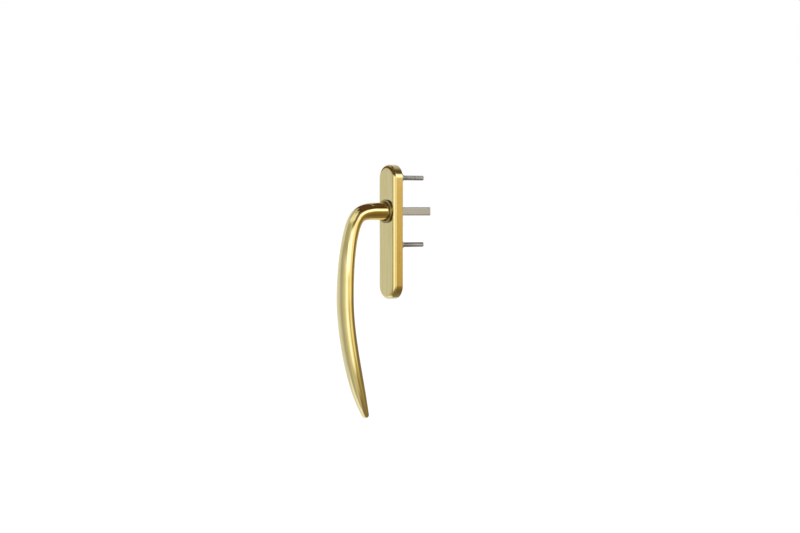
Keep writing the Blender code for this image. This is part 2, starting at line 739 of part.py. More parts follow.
def finish_journal(lever):
    """Add the journal with its groove and flats, and cut the spindle's socket and the pin's hole."""
    groove = JOURNAL_RADIUS - GROOVE_DEPTH
    profile = [
        (0.0, NECK_SHOULDER + 0.002),
        (JOURNAL_RADIUS, NECK_SHOULDER + 0.002),
        (JOURNAL_RADIUS, RING_TOP + FIT),
        (groove, RING_TOP + FIT),
        (groove, RING_BOTTOM - FIT),
        (JOURNAL_RADIUS, RING_BOTTOM - FIT),
        (JOURNAL_RADIUS, JOURNAL_END),
        (0.0, JOURNAL_END),
    ]
    join(lever, turned("journal", profile))
    flat_height = (JOURNAL_END - 0.001, POCKET_ROOF - 0.0001)
    reach = JOURNAL_RADIUS + 0.002
    for side, sign in (("right", 1.0), ("left", -1.0)):
        across = sorted((sign * JOURNAL_FLAT, sign * reach))
        cut(lever, block("journal_flat_" + side, across, flat_height, (-reach, reach)))
    half = SPINDLE_SIDE / 2 + FIT
    socket_end = SPINDLE_IN_NECK + 0.0005
    cut(lever, block("spindle_socket", (-half, half), (JOURNAL_END - 0.001, socket_end), (-half, half)))
    cut(lever, cross_hole("lever_pin_hole", SPINDLE_PIN_RADIUS + FIT, JOURNAL_RADIUS + 0.001))


def cross_hole(name, radius, half_length):
    """A rod along X, through the spindle's axis, at the height of the spindle's pin."""
    piece = rod(name, radius, -half_length, half_length, segments=24)
    piece.rotation_euler = (0.0, pi / 2, 0.0)
    piece.location = (0.0, -SPINDLE_PIN_HEIGHT, 0.0)
    return piece


def make_spindle():
    """The square bar that turns the gear in the sash, and the pin that holds it in the journal."""
    half = SPINDLE_SIDE / 2
    bar = block("square_spindle", (-half, half), (-SPINDLE_BEHIND_SASH, SPINDLE_IN_NECK), (-half, half))
    bevel_edges(bar, SPINDLE_CHAMFER, 1, lambda a, b: abs(a.y - b.y) < 0.00001)
    cut(bar, cross_hole("spindle_pin_hole", SPINDLE_PIN_RADIUS + FIT, SPINDLE_SIDE))
    node(bar, LEVER_BODY, STEEL)
    pin = cross_hole("spindle_pin", SPINDLE_PIN_RADIUS, JOURNAL_RADIUS - 0.0002)
    node(pin, LEVER_BODY, STEEL)


def make_stop_disc():
    """A steel disc keyed to the journal. Its notch meets the stop pin at each end of the turn."""
    margin = degrees(asin((STOP_PIN_RADIUS + 0.00025) / STOP_PIN_ORBIT))
    start = 90.0 - margin
    end = 90.0 + TURN_DEGREES + margin
    outline = arc(DISC_RADIUS, end - 360.0, start, 30) + arc(DISC_NOTCH_RADIUS, start, end, 30)
    disc = prism("stop_disc", [outline, double_d(FIT)], DISC_BOTTOM, DISC_TOP)
    node(disc, LEVER_BODY, STEEL)


def make_detent_cam():
    """A square cam with rounded corners, keyed to the journal. Its flats rest on the springs."""
    corner = degrees(acos(CAM_HALF_WIDTH / CAM_CORNER_RADIUS))
    outline = []
    for quarter in range(4):
        start = 90.0 * quarter + corner
        outline += arc(CAM_CORNER_RADIUS, start, 90.0 * quarter + 90.0 - corner, 6)
    cam = prism("detent_cam", [outline, double_d(FIT)], CAM_BOTTOM, CAM_TOP)
    node(cam, LEVER_BODY, SINTERED)


def make_retaining_ring():
    """An open spring ring in the journal's groove, with an eyed lug at each end of its gap."""
    start = -90.0 + RING_GAP_DEGREES / 2
    end = 270.0 - RING_GAP_DEGREES / 2
    inside = JOURNAL_RADIUS - GROOVE_DEPTH + FIT
    lug_radius = RING_RADIUS * RING_LUG_SWELL
    outline = arc(lug_radius, start, start + RING_LUG_DEGREES, 3)
    outline += arc(RING_RADIUS, start + RING_LUG_DEGREES + 4.0, end - RING_LUG_DEGREES - 4.0, 48)
    outline += arc(lug_radius, end - RING_LUG_DEGREES, end, 3)
    outline += arc(inside, end, start, 56)
    eyes = []
    for angle in (start + RING_LUG_DEGREES / 2, end - RING_LUG_DEGREES / 2):
        centre = arc((lug_radius + inside) / 2, angle, angle, 1)[0]
        eyes.append(circle(RING_EYE_RADIUS, 12, centre))
    ring = prism("retaining_ring", [outline] + eyes, RING_BOTTOM, RING_TOP)
    node(ring, LEVER_BODY, SPRING_STEEL)


def main():
    make_cover_plate()
    make_collar()
    make_base_plate()
    make_bearing_bush()
    make_stop_pin()
    make_retainer_plate()
    for end, sign in (("top", 1.0), ("bottom", -1.0)):
        make_retainer_screw(end, sign * RETAINER_SCREW_Z)
        make_fixing_screw(end, sign * FIXING_SCREW_Z)
    for end, centre, out in round_ends():
        make_cover_clip(end, centre, out)
    make_detent_spring("right", 1.0)
    make_detent_spring("left", -1.0)
    make_lever()
    make_spindle()
    make_stop_disc()
    make_detent_cam()
    make_retaining_ring()


main()
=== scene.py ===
"""Looks of the sash lever handle: fine meshes, materials, camera and a plain white studio.

Metres, in the CAD frame: +Z up the plate, +Y into the sash, the spindle's axis along Y through the
origin. A height is a distance out of the sash, towards the room: height = -y.
"""

from math import atan2, ceil, cos, hypot, pi, radians, sin

import bmesh
import bpy
from mathutils import Matrix, Vector
from mathutils.geometry import interpolate_bezier


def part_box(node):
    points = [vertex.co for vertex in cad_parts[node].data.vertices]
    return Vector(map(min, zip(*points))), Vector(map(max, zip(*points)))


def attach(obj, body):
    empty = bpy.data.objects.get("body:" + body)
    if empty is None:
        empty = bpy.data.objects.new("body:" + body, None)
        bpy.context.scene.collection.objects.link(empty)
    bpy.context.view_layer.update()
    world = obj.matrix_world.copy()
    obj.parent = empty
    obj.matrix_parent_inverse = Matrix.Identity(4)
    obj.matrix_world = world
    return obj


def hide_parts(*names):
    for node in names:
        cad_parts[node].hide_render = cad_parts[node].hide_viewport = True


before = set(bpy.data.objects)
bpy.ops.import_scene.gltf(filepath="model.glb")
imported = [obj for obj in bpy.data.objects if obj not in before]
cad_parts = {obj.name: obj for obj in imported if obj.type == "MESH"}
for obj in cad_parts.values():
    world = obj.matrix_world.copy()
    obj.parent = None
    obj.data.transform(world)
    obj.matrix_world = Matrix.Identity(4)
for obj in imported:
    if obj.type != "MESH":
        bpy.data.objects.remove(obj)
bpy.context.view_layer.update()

# Plate, from the frame
PLATE_LOW, PLATE_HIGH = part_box("cover_plate")
PLATE_RADIUS = PLATE_HIGH.x
PLATE_DEPTH = -PLATE_LOW.y
TOP_CENTRE = PLATE_HIGH.z - PLATE_RADIUS
BOTTOM_CENTRE = PLATE_LOW.z + PLATE_RADIUS
COVER_WALL = 0.0015
COVER_FILLET = 0.0042
COVER_INNER_FILLET = 0.0014
COVER_BACK_EDGE = 0.0003
COVER_HOLE_RADIUS = 0.0124

# Lever: its spine in the plane x = 0, as (height above the plate's face, z). It is the CAD's spine, but
# for a tip that stays 0.05 mm inside the CAD's.
NECK_RADIUS = 0.0103
NECK_SHOULDER = 0.0116
SPINE_NECK_END = (0.0175, 0.0)
SPINE_NECK_HANDLE = (0.0376, 0.0)
SPINE_BEND = (0.0442, -0.0095)
SPINE_BEND_ANGLE = 52.0
SPINE_BEND_HANDLES = (0.005, 0.0125)
SPINE_BELLY = (0.0598, -0.1035)
SPINE_BELLY_HANDLE = 0.050
SPINE_TIP = (0.0288, -0.24475)
SPINE_TIP_HANDLE = (0.0391, -0.2250)
BEND_SECTION = (0.0093, 0.0088)
BELLY_SECTION = (0.0128, 0.0085)
TIP_SECTION = (0.0042, 0.0032)
TIP_TAPER = 4.6
LEVER_SEGMENTS = 96

# Journal and spindle
JOURNAL_RADIUS = 0.0085
JOURNAL_FLAT = 0.00715
JOURNAL_END = 0.0015
FLAT_TOP = 0.0078
GROOVE = (0.00215, 0.00335)
GROOVE_DEPTH = 0.0005
SPINDLE_SIDE = 0.010
SPINDLE_CORNER = 0.001
SOCKET_FIT = 0.00015
PIN_HEIGHT = 0.0096
PIN_RADIUS = 0.00125

# Collar and the sleeve in it
COLLAR_BORE = 0.0112
COLLAR_SPIGOT = 0.0121
COLLAR_RIM = 0.0007
COLLAR_GAP = 0.0003  # from the plate's face to the collar's seat
RECESS_DEPTH = 0.0009
SLEEVE_OUTSIDE = 0.0110
SLEEVE_PLAY = 0.0002
SLEEVE_LIP = 0.0004
SLEEVE_LIP_THICKNESS = 0.0007

# Screws
FIXING_RADIUS = 0.003
FIXING_PITCH = 0.001
FIXING_THREAD_DEPTH = 0.00055
FIXING_RUN_OUT = 0.003  # plain shank below the head
FIXING_HEAD_EDGE = 0.0003
SOCKET_REACH = 0.0023  # from the socket's middle to its corners
SOCKET_DEPTH = 0.0024
SOCKET_LAND = 0.0004  # flat ring round the socket's corners
RETAINER_RADIUS = 0.0011
RETAINER_PITCH = 0.0004
RETAINER_THREAD_DEPTH = 0.0002
SLOT_HALF_WIDTH = 0.0003
SLOT_DEPTH = 0.0006

# Studio
FLOOR_Z = -0.40
FLAG_HEIGHT = 0.0565
FLAG_HALF_WIDTH = 0.085
FLAG_DEPTH = 0.042
LENS = 90.0
VIEW_DISTANCE = 2.381
VIEW_RIGHT = Vector((0.6, 0.8, 0.0))  # the picture's horizontal direction
VIEW_PITCH = 1.56  # degrees that the camera looks down
AIM_OFFSET = (-0.0165, 0.0657)  # where the picture shows the middle of the collar, from its own centre


# Meshes


def new_object(name, mesh):
    obj = bpy.data.objects.new(name, mesh)
    bpy.context.scene.collection.objects.link(obj)
    return obj


def loft(name, rings, cyclic=False):
    """A closed surface through rings of points. A ring of one point closes an end; cyclic joins the ends."""
    bm = bmesh.new()
    made = [[bm.verts.new(point) for point in ring] for ring in rings]
    pairs = list(zip(made, made[1:]))
    if cyclic:
        pairs.append((made[-1], made[0]))
    for a, b in pairs:
        count = max(len(a), len(b))
        for j in range(count):
            k = (j + 1) % count
            corners = [a[j % len(a)], a[k % len(a)], b[k % len(b)], b[j % len(b)]]
            bm.faces.new(list(dict.fromkeys(corners)))
    bmesh.ops.recalc_face_normals(bm, faces=bm.faces)
    mesh = bpy.data.meshes.new(name)
    bm.to_mesh(mesh)
    bm.free()
    return new_object(name, mesh)


def smooth(obj, angle=32.0, keep_flat=True):
    """Round shading between sharp edges, with the large faces kept flat if wanted."""
    obj.data.shade_smooth()
    obj.data.set_sharp_from_angle(angle=radians(angle))
    if keep_flat:
        weighted = obj.modifiers.new("flat_faces_stay_flat", "WEIGHTED_NORMAL")
        weighted.keep_sharp = True
    return obj


def carve(obj, cutters):
    """Cut each of these closed meshes out of the object, for good."""
    for cutter in cutters:
        step = obj.modifiers.new("cut", "BOOLEAN")
        step.operation = "DIFFERENCE"
        step.object = cutter
    carved = bpy.data.meshes.new_from_object(obj.evaluated_get(bpy.context.evaluated_depsgraph_get()))
    obj.modifiers.clear()
    obj.data = carved
    for cutter in cutters:
        bpy.data.objects.remove(cutter, do_unlink=True)
    return obj


def ring_at(outline, height):
    """An outline of (x, z) points, at a height out of the sash."""
    return [Vector((x, -height, z)) for x, z in outline]


def circle(radius, count, centre=(0.0, 0.0)):
    angles = [2.0 * pi * i / count for i in range(count)]
    return [(centre[0] + radius * cos(a), centre[1] + radius * sin(a)) for a in angles]


def turned(name, profile, centre=(0.0, 0.0), count=128, cyclic=True):
    """A turned piece through (radius, height) points. A radius of 0 is a point on the axis."""
    rings = []
    for radius, height in profile:
        outline = [centre] if radius == 0.0 else circle(radius, count, centre)
        rings.append(ring_at(outline, height))
    return smooth(loft(name, rings, cyclic))


def rounded(corner, start, end, centre_radius, centre_height, steps=6):
    """Profile points round a corner of a turned piece; angles from outwards (0) to out of the sash (90)."""
    angles = [radians(start + (end - start) * i / steps) for i in range(steps + 1)]
    return [(centre_radius + corner * cos(a), centre_height + corner * sin(a)) for a in angles]


def eased(start, end, t):
    t = t * t * (3.0 - 2.0 * t)
    return start + (end - start) * t


# Lever


def spine_points():
    """Points down the middle of the lever, and the indices of the ends of its four stretches."""
    fall = Vector((cos(radians(SPINE_BEND_ANGLE)), -sin(radians(SPINE_BEND_ANGLE))))
    neck_end = Vector(SPINE_NECK_END)
    bend = Vector(SPINE_BEND)
    belly = Vector(SPINE_BELLY)
    shoulder = Vector((NECK_SHOULDER - PLATE_DEPTH, 0.0))
    before, after = SPINE_BEND_HANDLES
    drop = Vector((0.0, SPINE_BELLY_HANDLE))
    runs = [
        ((shoulder, shoulder.lerp(neck_end, 0.3), shoulder.lerp(neck_end, 0.7), neck_end), 6),
        ((neck_end, Vector(SPINE_NECK_HANDLE), bend - fall * before, bend), 40),
        ((bend, bend + fall * after, belly + drop, belly), 48),
        ((belly, belly - drop, Vector(SPINE_TIP_HANDLE), Vector(SPINE_TIP)), 90),
    ]
    points = []
    joints = []
    for knots, count in runs:
        stretch = interpolate_bezier(*[k.to_3d() for k in knots], count)
        points += [p.to_2d() for p in (stretch if not points else stretch[1:])]
        joints.append(len(points) - 1)
    return points, joints


def half_widths(along, neck_end, bend, belly, tip):
    """Half-widths of the lever's oval section, across it and in the plane of its bow."""
    widths = []
    for i in range(2):
        if along <= neck_end:
            widths.append(NECK_RADIUS)
        elif along <= bend:
            widths.append(eased(NECK_RADIUS, BEND_SECTION[i], (along - neck_end) / (bend - neck_end)))
        elif along <= belly:
            widths.append(eased(BEND_SECTION[i], BELLY_SECTION[i], (along - bend) / (belly - bend)))
        else:
            taper = ((along - belly) / (tip - belly)) ** TIP_TAPER
            widths.append(BELLY_SECTION[i] + (TIP_SECTION[i] - BELLY_SECTION[i]) * taper)
    return widths


def blade_rings():
    """The lever's oval sections from the neck's shoulder to its rounded tip."""
    points, joints = spine_points()
    lengths = [0.0]
    for a, b in zip(points, points[1:]):
        lengths.append(lengths[-1] + (b - a).length)
    knots = [lengths[j] for j in joints]
    cap = sum(TIP_SECTION) / 2
    sections = [(p, half_widths(s, *knots)) for p, s in zip(points, lengths) if s < knots[3] - cap]
    direction = (points[-1] - points[-2]).normalized()
    for i in range(14):
        turn = radians(88.0 * i / 13)
        short = cap * (1.0 - sin(turn))
        widths = half_widths(knots[3] - short, *knots)
        sections.append((points[-1] - direction * short, [w * cos(turn) for w in widths]))
    rings = []
    for i, (point, (across, along)) in enumerate(sections):
        before = sections[max(i - 1, 0)][0]
        after = sections[min(i + 1, len(sections) - 1)][0]
        direction = (after - before).normalized()
        normal = Vector((-direction.y, direction.x))
        ring = []
        for x, offset in circle(1.0, LEVER_SEGMENTS):
            place = point + normal * along * offset
            ring.append(Vector((across * x, -PLATE_DEPTH - place.x, place.y)))
        rings.append(ring)
    tip = points[-1]
    return rings + [[Vector((0.0, -PLATE_DEPTH - tip.x, tip.y))]]


def double_d(radius, flat):
    """A circle cut off by a flat on each side."""
    outline = []
    for x, z in circle(radius, LEVER_SEGMENTS):
        outline.append((max(-flat, min(flat, x)), z))
    return outline


def square(half, corner, count):
    """A square with rounded corners, as points at even angles round its middle."""
    straight = half - corner
    outline = []
    for x, z in circle(1.0, count):
        reach = half / max(abs(x), abs(z))
        if min(abs(x), abs(z)) * reach > straight:
            inner = straight * (abs(x) + abs(z))
            reach = inner + (inner * inner - 2.0 * straight * straight + corner * corner) ** 0.5
        outline.append((x * reach, z * reach))
    return outline


def journal_rings():
    """From the bottom of the spindle's socket, out over the journal's end, and up to the neck's shoulder."""
    spindle_low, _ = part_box("square_spindle")
    half = SPINDLE_SIDE / 2 + SOCKET_FIT
    socket = square(half, 0.0004, LEVER_SEGMENTS)
    mouth = square(half + 0.0003, 0.0006, LEVER_SEGMENTS)
    bottom = -spindle_low.y + 0.0005
    edge = 0.0003
    groove_radius = JOURNAL_RADIUS - GROOVE_DEPTH
    steps = [
        ([(0.0, 0.0)], bottom),
        (socket, bottom),
        (socket, JOURNAL_END + edge),
        (mouth, JOURNAL_END),
        (double_d(JOURNAL_RADIUS - edge, JOURNAL_FLAT - edge), JOURNAL_END),
        (double_d(JOURNAL_RADIUS, JOURNAL_FLAT), JOURNAL_END + edge),
        (double_d(JOURNAL_RADIUS, JOURNAL_FLAT), GROOVE[0]),
        (double_d(groove_radius, JOURNAL_FLAT), GROOVE[0]),
        (double_d(groove_radius, JOURNAL_FLAT), GROOVE[1]),
        (double_d(JOURNAL_RADIUS, JOURNAL_FLAT), GROOVE[1]),
        (double_d(JOURNAL_RADIUS, JOURNAL_FLAT), FLAT_TOP),
        (circle(JOURNAL_RADIUS, LEVER_SEGMENTS), FLAT_TOP),
        (circle(JOURNAL_RADIUS, LEVER_SEGMENTS), NECK_SHOULDER),
        (circle(NECK_RADIUS - edge, LEVER_SEGMENTS), NECK_SHOULDER),
    ]
    return [ring_at(outline, height) for outline, height in steps]


def cross_rod(name, radius, half_length, height, count=48):
    """A rod along X through the spindle's axis."""
    ends = []
    for x in (-half_length, half_length):
        ends.append([Vector((x, -height + radius * c, radius * s)) for c, s in circle(1.0, count)])
    caps = [[Vector((x, -height, 0.0))] for x in (-half_length, half_length)]
    return loft(name, [caps[0], ends[0], ends[1], caps[1]])


def make_lever():
    blade = blade_rings()
    for point in blade[0]:
        point.y -= 0.0003
    lever = loft("brass_lever", journal_rings() + blade)
    carve(lever, [cross_rod("pin_hole", PIN_RADIUS + SOCKET_FIT, JOURNAL_RADIUS + 0.002, PIN_HEIGHT)])
    return smooth(lever, keep_flat=False)


# Plate


def oblong(inset, arc_steps=32, side_steps=48):
    """The plate's outline moved in by inset, with the same number of points for every inset."""
    radius = PLATE_RADIUS - inset
    low = atan2(BOTTOM_CENTRE, PLATE_RADIUS)
    high = atan2(TOP_CENTRE, PLATE_RADIUS)
    side = [PLATE_RADIUS * (sin(a) / cos(a)) for a in
            (low + (high - low) * i / side_steps for i in range(1, side_steps))]
    outline = [(radius, z) for z in side]
    for i in range(arc_steps + 1):
        angle = pi * i / arc_steps
        outline.append((radius * cos(angle), TOP_CENTRE + radius * sin(angle)))
    outline += [(-radius, z) for z in reversed(side)]
    for i in range(arc_steps + 1):
        angle = pi + pi * i / arc_steps
        outline.append((radius * cos(angle), BOTTOM_CENTRE + radius * sin(angle)))
    return outline


def hole_outline(radius):
    """A circle whose points lie in the directions of the plate's outline."""
    outline = []
    for x, z in oblong(0.0):
        reach = radius / hypot(x, z)
        outline.append((x * reach, z * reach))
    return outline


def make_cover_plate():
    """The drawn brass shell: outer wall, rolled front edge, face, hole, and the same again inside."""
    inside = PLATE_DEPTH - COVER_WALL
    hole = COVER_HOLE_RADIUS
    edge = COVER_BACK_EDGE
    rings = [ring_at(oblong(edge), 0.0), ring_at(oblong(edge * 0.3), edge * 0.3), ring_at(oblong(0.0), edge)]
    for i in range(19):
        turn = radians(90.0 * i / 18)
        inset = COVER_FILLET * (1.0 - cos(turn))
        rings.append(ring_at(oblong(inset), PLATE_DEPTH - COVER_FILLET * (1.0 - sin(turn))))
    rings.append(ring_at(oblong(COVER_FILLET + 0.0002), PLATE_DEPTH))
    rings.append(ring_at(hole_outline(hole + 0.0003), PLATE_DEPTH))
    rings.append(ring_at(hole_outline(hole + 0.0001), PLATE_DEPTH - 0.00003))
    rings.append(ring_at(hole_outline(hole), PLATE_DEPTH - 0.0002))
    rings.append(ring_at(hole_outline(hole), inside))
    for i in range(5):
        turn = radians(90.0 - 90.0 * i / 4)
        inset = COVER_WALL + COVER_INNER_FILLET * (1.0 - cos(turn))
        rings.append(ring_at(oblong(inset), inside - COVER_INNER_FILLET * (1.0 - sin(turn))))
    rings.append(ring_at(oblong(COVER_WALL), edge))
    rings.append(ring_at(oblong(COVER_WALL - edge * 0.3), 0.0))
    return smooth(loft("brass_cover_plate", rings, cyclic=True))


def make_collar():
    """The turned brass ring round the neck, with a rounded rim and a bevelled bore."""
    low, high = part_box("collar_ring")
    radius = high.x
    front = -low.y
    seat = PLATE_DEPTH + COLLAR_GAP
    spigot = COLLAR_SPIGOT
    spigot_end = -high.y
    bore = COLLAR_BORE
    recess = spigot_end + RECESS_DEPTH
    profile = [(radius, seat + 0.0001)]
    profile += rounded(COLLAR_RIM, 0.0, 90.0, radius - COLLAR_RIM, front - COLLAR_RIM)
    profile += [
        (bore + 0.00035, front),
        (bore, front - 0.00035),
        (bore, recess),
        (bore + SLEEVE_LIP, recess),
        (bore + SLEEVE_LIP, spigot_end),
        (spigot - 0.0002, spigot_end),
        (spigot, spigot_end + 0.0002),
        (spigot, seat),
        (radius - 0.0001, seat),
    ]
    return turned("brass_collar", profile)


def make_collar_bush():
    """The black sleeve between the collar and the neck, with a lip behind the collar."""
    low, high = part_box("collar_bush")
    front = -low.y
    back = -high.y
    inside = NECK_RADIUS + SLEEVE_PLAY
    outside = SLEEVE_OUTSIDE
    lip_radius = outside + SLEEVE_LIP
    lip_top = back + SLEEVE_LIP_THICKNESS
    edge = 0.0002
    profile = [
        (inside, back),
        (lip_radius, back),
        (lip_radius, lip_top),
        (outside, lip_top),
        (outside, front - edge),
        (outside - edge, front),
        (inside + edge, front),
        (inside, front - edge),
    ]
    return turned("nylon_collar_bush", profile)


# Fasteners


def screw_surface(name, centre, profile, pitch, depth, threaded, count=48):
    """A turned screw whose radius follows a helix between two heights, its thread run out at each end."""
    low, high = threaded
    fine = []
    for (r0, h0), (r1, h1) in zip(profile, profile[1:]):
        along = abs(h1 - h0)
        inside = low <= min(h0, h1) and max(h0, h1) <= high
        steps = max(1, ceil(along / (pitch / 8))) if inside else 1
        fine += [(r0 + (r1 - r0) * i / steps, h0 + (h1 - h0) * i / steps) for i in range(steps)]
    fine.append(profile[-1])
    rings = []
    for radius, height in fine:
        if radius == 0.0:
            rings.append(ring_at([centre], height))
            continue
        outline = []
        fade = min(1.0, max(0.0, min(height - low, high - height) / pitch))
        for i, (x, z) in enumerate(circle(1.0, count)):
            phase = (height / pitch + i / count) % 1.0
            tooth = min(1.0, max(0.0, 1.6 * abs(2.0 * phase - 1.0) - 0.3))
            r = radius - depth * fade * (1.0 - tooth)
            outline.append((centre[0] + x * r, centre[1] + z * r))
        rings.append(ring_at(outline, height))
    return loft(name, rings)


def hexagon(reach, z, count=48):
    """A hexagon round a point of the Z axis, as points at even angles; its corners are at reach."""
    outline = []
    for i in range(count):
        angle = 2 * pi * i / count
        distance = reach * (cos(pi / 6) / cos((angle % (pi / 3)) - pi / 6))
        outline.append((distance * cos(angle), z + distance * sin(angle)))
    return outline


def make_fixing_screw(end):
    """An M6 countersunk screw with a rolled thread and a hexagon socket."""
    low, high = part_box("fixing_screw_" + end)
    z = (low.z + high.z) / 2
    tip = -high.y
    top = -low.y
    head = high.x
    radius = FIXING_RADIUS
    under = top - FIXING_HEAD_EDGE - head + radius
    threaded = (tip + 0.0009, under - FIXING_RUN_OUT)
    profile = [
        (0.0, tip),
        (radius - 0.0009, tip),
        (radius, threaded[0]),
        (radius, threaded[1]),
        (radius, under),
        (head, top - FIXING_HEAD_EDGE),
        (head, top - 0.0001),
        (head - 0.0001, top),
        (SOCKET_REACH + SOCKET_LAND, top),
        (0.0, top),
    ]
    name = "fixing_screw_m6_" + end
    screw = screw_surface(name, (0.0, z), profile, FIXING_PITCH, FIXING_THREAD_DEPTH, threaded)
    bottom = top - SOCKET_DEPTH
    past = top + 0.001
    drill_point = bottom - 0.0006
    wall = hexagon(SOCKET_REACH, z)
    axis = [(0.0, z)]
    steps = [(axis, drill_point), (wall, bottom), (wall, past), (axis, past)]
    carve(screw, [loft("socket", [ring_at(outline, height) for outline, height in steps])])
    return smooth(screw)


def make_retainer_screw(end):
    """A small countersunk screw with a slot, put in from behind."""
    low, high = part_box("retainer_screw_" + end)
    z = (low.z + high.z) / 2
    back = -high.y
    tip = -low.y
    radius = RETAINER_RADIUS
    threaded = (back + 0.0013, tip - 0.0004)
    profile = [
        (0.0, back),
        (radius + 0.0012, back),
        (radius + 0.0013, back + 0.0001),
        (radius, threaded[0]),
        (radius, threaded[1]),
        (radius - 0.0003, tip),
        (0.0, tip),
    ]
    name = "retainer_screw_m2_" + end
    screw = screw_surface(name, (0.0, z), profile, RETAINER_PITCH, RETAINER_THREAD_DEPTH, threaded)
    half = SLOT_HALF_WIDTH
    reach = 0.003
    before = back - 0.001
    bottom = back + SLOT_DEPTH
    slot = [(-reach, z - half), (reach, z - half), (reach, z + half), (-reach, z + half)]
    axis = [(0.0, z)]
    steps = [(axis, before), (slot, before), (slot, bottom), (axis, bottom)]
    carve(screw, [loft("slot", [ring_at(outline, height) for outline, height in steps])])
    return smooth(screw)


def make_spindle():
    """The square bar, with drawn corners and bevelled ends."""
    low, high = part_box("square_spindle")
    half = SPINDLE_SIDE / 2
    edge = 0.0005
    count = 96
    body = square(half, SPINDLE_CORNER, count)
    end = square(half - edge, SPINDLE_CORNER - edge * 0.5, count)
    steps = [
        ([(0.0, 0.0)], -high.y),
        (end, -high.y),
        (body, -high.y + edge),
        (body, -low.y - edge),
        (end, -low.y),
        ([(0.0, 0.0)], -low.y),
    ]
    bar = loft("square_bar_spindle", [ring_at(outline, height) for outline, height in steps])
    carve(bar, [cross_rod("bar_hole", PIN_RADIUS + SOCKET_FIT, SPINDLE_SIDE, PIN_HEIGHT)])
    return smooth(bar)


# Materials

# How a grain is stretched: small numbers draw it out along that axis
ALONG_LEVER = (1.0, 1.0, 0.03)
ALONG_SPINDLE = (1.0, 0.03, 1.0)
EVEN = (1.0, 1.0, 1.0)


class Finish:
    """A Principled material, and the textures that vary it. Textures follow the piece's own coordinates."""

    def __init__(self, name, metallic, **constants):
        self.material = bpy.data.materials.new(name)
        self.material.use_nodes = True
        self.tree = self.material.node_tree
        self.shader = self.tree.nodes["Principled BSDF"]
        self.shader.inputs["Metallic"].default_value = metallic
        for socket, value in constants.items():
            self.shader.inputs[socket.replace("_", " ").title()].default_value = value
        self.place = self.add("ShaderNodeTexCoord").outputs["Object"]

    def add(self, kind, inputs=None, **settings):
        node = self.tree.nodes.new(kind)
        for key, value in settings.items():
            setattr(node, key, value)
        for key, value in (inputs or {}).items():
            if isinstance(value, bpy.types.NodeSocket):
                self.tree.links.new(value, node.inputs[key])
            else:
                node.inputs[key].default_value = value
        return node

    def stretched(self, stretch):
        return self.add("ShaderNodeMapping", {"Vector": self.place, "Scale": stretch}).outputs["Vector"]

    def noise(self, scale, detail=3.0, stretch=(1.0, 1.0, 1.0), distortion=0.0):
        """Cloudy noise; scale is in features per metre."""
        inputs = {
            "Vector": self.stretched(stretch),
            "Scale": scale,
            "Detail": detail,
            "Distortion": distortion,
        }
        return self.add("ShaderNodeTexNoise", inputs).outputs["Fac"]

    def cells(self, scale, feature="F1"):
        inputs = {"Vector": self.place, "Scale": scale}
        return self.add("ShaderNodeTexVoronoi", inputs, feature=feature).outputs["Distance"]

    def edges(self):
        """0 in hollows, 0.5 on flats and 1 on sharp outer edges."""
        return self.add("ShaderNodeNewGeometry").outputs["Pointiness"]

    def span(self, value, low, high, to_low=0.0, to_high=1.0):
        inputs = {"Value": value, "From Min": low, "From Max": high, "To Min": to_low, "To Max": to_high}
        return self.add("ShaderNodeMapRange", inputs).outputs["Result"]

    def mix(self, factor, a, b):
        node = self.add("ShaderNodeMix", data_type="RGBA")
        for socket, value in zip((node.inputs[0], node.inputs[6], node.inputs[7]), (factor, a, b)):
            if isinstance(value, bpy.types.NodeSocket):
                self.tree.links.new(value, socket)
            else:
                socket.default_value = value if isinstance(value, float) else (*value, 1.0)
        return node.outputs[2]

    def sum(self, a, b, operation="ADD"):
        node = self.add("ShaderNodeMath", {0: a, 1: b}, operation=operation)
        return node.outputs["Value"]

    def colour(self, value):
        self.tree.links.new(value, self.shader.inputs["Base Color"])

    def roughness(self, value):
        self.tree.links.new(value, self.shader.inputs["Roughness"])

    def bump(self, *layers):
        """Raise the surface by (height map, distance in metres) layers."""
        normal = None
        for height, distance in layers:
            inputs = {"Height": height, "Distance": distance, "Strength": 1.0}
            if normal is not None:
                inputs["Normal"] = normal
            normal = self.add("ShaderNodeBump", inputs).outputs["Normal"]
        self.tree.links.new(normal, self.shader.inputs["Normal"])


def polished_brass(name, grain, smoothest, roughest):
    """Polished, lacquered brass: faint colour clouds, hairline polishing marks and a few specks."""
    brass = Finish(name, 1.0, coat_weight=0.1, coat_roughness=0.03)
    clouds = brass.noise(38.0, 4.0)
    hairlines = brass.noise(1500.0, 3.0, grain)
    streaks = brass.noise(420.0, 2.0, grain)
    specks = brass.span(brass.noise(1100.0, 2.0), 0.70, 0.76)
    base = brass.mix(brass.span(clouds, 0.35, 0.65), (0.875, 0.735, 0.350), (0.905, 0.780, 0.395))
    streaked = brass.mix(brass.span(streaks, 0.40, 0.75), base, (0.945, 0.825, 0.420))
    brass.colour(brass.mix(specks, streaked, (0.62, 0.46, 0.17)))
    smears = brass.span(brass.noise(70.0, 3.0, distortion=0.6), 0.40, 0.75, 0.0, 0.04)
    brass.roughness(brass.sum(brass.span(hairlines, 0.3, 0.7, smoothest, roughest), smears))
    brass.bump((hairlines, 0.0000010), (brass.noise(160.0, 2.0), 0.000006))
    return brass.material


